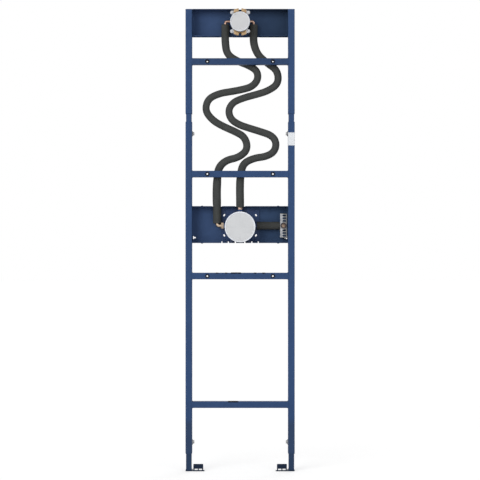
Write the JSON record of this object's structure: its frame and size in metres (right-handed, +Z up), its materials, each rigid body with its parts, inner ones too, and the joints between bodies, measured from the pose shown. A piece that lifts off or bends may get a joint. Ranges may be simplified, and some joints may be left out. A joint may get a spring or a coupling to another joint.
{
  "type": "shower installation frame",
  "caption": "Upright steel frame on telescoping legs with crossbars and folded trays that hold a concealed shower mixer, an outlet and an overhead shower socket joined by insulated hoses.",
  "frame": {"origin": "underside of the left floor plate, below the axis of the left leg", "axes": "+X to the right as seen from the room, +Y into the wall, +Z up along the posts"},
  "size_m": [0.5, 0.114, 2.1175],
  "materials": {
    "frame_paint": "satin powder coat",
    "bush_rubber": "matt",
    "zinc": "galvanised",
    "box_plastic": "matt",
    "cover_plastic": "matt",
    "brass": "satin",
    "hose_foam": "matt foam"
  },
  "bodies": {
    "left_foot": {"left_leg": "frame_paint", "left_floor_plate": "frame_paint"},
    "frame": {"left_post": "frame_paint", "right_post": "frame_paint", "lower_bar": "frame_paint", "middle_bar": "frame_paint", "hose_bar": "frame_paint", "bar_bushes": "bush_rubber", "clamp_bosses": "frame_paint", "clamp_bolts": "zinc", "mixer_tray": "frame_paint", "mixer_box": "box_plastic", "mixer_cover": "cover_plastic", "left_mixer_elbow": "brass", "top_mixer_nipple": "brass", "right_mixer_nipple": "brass", "hot_inlet": "box_plastic", "cold_inlet": "box_plastic", "outlet_hose": "hose_foam", "outlet_bracket": "zinc", "outlet_elbow": "brass", "left_hose": "hose_foam", "right_hose": "hose_foam"},
    "right_foot": {"right_leg": "frame_paint", "right_floor_plate": "frame_paint"},
    "head_section": {"left_head_post": "frame_paint", "right_head_post": "frame_paint", "left_coupling": "frame_paint", "right_coupling": "frame_paint", "head_bar": "frame_paint", "head_bar_bushes": "bush_rubber", "head_tray": "frame_paint", "head_socket": "brass", "head_cover": "cover_plastic", "head_screw_caps": "cover_plastic", "left_head_elbow": "brass", "right_head_elbow": "brass"}
  },
  "joints": [
    {"name": "left_leg_slide", "type": "slide", "parent": "left_foot", "child": "frame", "axis": [0, 0, 1], "range_m": [-0.07, 0.12]},
    {"name": "right_leg_slide", "type": "slide", "parent": "frame", "child": "right_foot", "axis": [0, 0, -1], "range_m": [-0.07, 0.12]},
    {"name": "head_slide", "type": "slide", "parent": "frame", "child": "head_section", "axis": [0, 0, 1], "range_m": [-0.033, 0.1], "deforming": ["left_hose", "right_hose"]}
  ]
}
